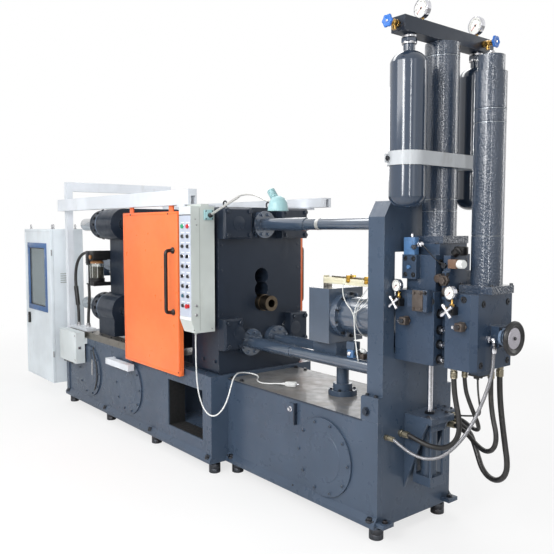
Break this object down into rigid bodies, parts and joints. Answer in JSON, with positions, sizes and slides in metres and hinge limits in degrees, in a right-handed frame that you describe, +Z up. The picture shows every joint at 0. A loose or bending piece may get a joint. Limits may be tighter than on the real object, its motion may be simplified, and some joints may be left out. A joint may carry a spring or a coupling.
{
  "type": "horizontal cold-chamber die casting machine",
  "caption": "Horizontal cold-chamber die casting machine with toggle clamp, sliding guard doors, shot cylinder, gas accumulators, hoses and a control cabinet.",
  "frame": {"origin": "on the floor, under the middle of the machine's length and width, without its hoses and cord", "axes": "+X along the machine to the injection end, -Y to the operator's side, +Z up"},
  "size_m": [5.658, 1.3934, 2.9229],
  "materials": {
    "blue_paint": "glossy slate blue-grey enamel, scuffed at the edges",
    "dark_paint": "glossy dark blue-black enamel",
    "white_paint": "off-white enamel with dirt and rust spots",
    "orange_paint": "orange enamel, glossy",
    "grey_green_paint": "pale grey-green enamel",
    "cabinet_paint": "bluish white textured enamel",
    "mint_paint": "mint green enamel",
    "worn_steel": "bare steel, worn and stained",
    "ground_steel": "ground and polished bars",
    "zinc_steel": "yellowed zinc plate",
    "gauge_steel": "satin steel cases with white dials",
    "bright_chrome": "bright chrome",
    "valve_brass": "dull brass",
    "blue_plastic": "blue moulded plastic",
    "dark_plastic": "black moulded plastic",
    "button_plastic": "push buttons in several colours with metal bezels",
    "window_blue": "blue window frame round a clear pane",
    "hose_rubber": "black hydraulic hose",
    "braided_steel": "silver braided hose",
    "cord_rubber": "white flexible cord, dusty"
  },
  "bodies": {
    "machine": {"clamp_bed": "blue_paint", "injection_base": "blue_paint", "inspection_covers": "blue_paint", "levelling_feet": "blue_paint", "guide_rails": "worn_steel", "fixed_platen": "blue_paint", "moving_platen": "blue_paint", "rear_platen": "blue_paint", "tie_bars": "ground_steel", "tie_bar_nuts": "blue_paint", "toggle_links": "blue_paint", "clamp_cylinder": "dark_paint", "shot_sleeve": "worn_steel", "end_frame": "blue_paint", "shot_tie_rods": "ground_steel", "shot_front_block": "dark_paint", "shot_cylinder": "dark_paint", "sensor_rail": "worn_steel", "cylinder_support": "blue_paint", "left_manifold": "blue_paint", "right_manifold": "blue_paint", "valve_stack": "blue_paint", "accumulators": "dark_paint", "gas_bottles": "dark_paint", "bottle_straps": "white_paint", "gas_bar": "dark_paint", "gas_valves": "valve_brass", "pressure_gauges": "gauge_steel", "lift_cylinder": "blue_paint", "lift_bracket": "blue_paint", "hose_fittings": "zinc_steel", "button_box": "grey_green_paint", "push_buttons": "button_plastic", "work_lamp": "mint_paint", "guard_frame": "white_paint", "cabinet": "cabinet_paint", "junction_box": "grey_green_paint", "side_brackets": "white_paint", "lube_pump": "dark_plastic", "hose_a": "hose_rubber", "hose_b": "hose_rubber", "hose_c": "braided_steel", "hose_d": "hose_rubber", "hose_e": "hose_rubber", "cable_f": "hose_rubber", "lube_hose_near": "hose_rubber", "lube_hose_far": "hose_rubber", "power_cord": "cord_rubber", "power_plug": "cord_rubber"},
    "front_door": {"front_door": "orange_paint", "front_door_handle": "dark_plastic"},
    "rear_door": {"rear_door": "orange_paint", "rear_door_handle": "dark_plastic"},
    "cabinet_door": {"cabinet_door": "cabinet_paint", "cabinet_window": "window_blue"},
    "handwheel": {"handwheel": "dark_plastic"},
    "valve_wheel_near": {"valve_wheel_near": "blue_plastic"},
    "valve_wheel_far": {"valve_wheel_far": "blue_plastic"},
    "cross_handle_left": {"cross_handle_left": "bright_chrome"},
    "cross_handle_right": {"cross_handle_right": "bright_chrome"}
  },
  "joints": [
    {"name": "front_door_slide", "type": "slide", "parent": "machine", "child": "front_door", "axis": [-1, 0, 0], "range_m": [0, 0.84]},
    {"name": "rear_door_slide", "type": "slide", "parent": "machine", "child": "rear_door", "axis": [-1, 0, 0], "range_m": [0, 0.84]},
    {"name": "cabinet_door_hinge", "type": "hinge", "parent": "machine", "child": "cabinet_door", "pos_m": [-2.059, -0.59975, 0.94], "axis": [0, 0, 1], "range_deg": [0, 110]},
    {"name": "handwheel_turn", "type": "hinge", "parent": "machine", "child": "handwheel", "pos_m": [2.818, -0.07475, 1.19], "axis": [1, 0, 0], "continuous": true},
    {"name": "valve_near_turn", "type": "hinge", "parent": "machine", "child": "valve_wheel_near", "pos_m": [2.361, -0.52575, 2.76], "axis": [0, 1, 0], "continuous": true},
    {"name": "valve_far_turn", "type": "hinge", "parent": "machine", "child": "valve_wheel_far", "pos_m": [2.485, 0.21625, 2.76], "axis": [1, 0, 0], "continuous": true},
    {"name": "cross_left_turn", "type": "hinge", "parent": "machine", "child": "cross_handle_left", "pos_m": [2.252, -0.33175, 1.34], "axis": [0, 1, 0], "continuous": true},
    {"name": "cross_right_turn", "type": "hinge", "parent": "machine", "child": "cross_handle_right", "pos_m": [2.59, -0.31875, 1.323], "axis": [0, 1, 0], "continuous": true}
  ]
}
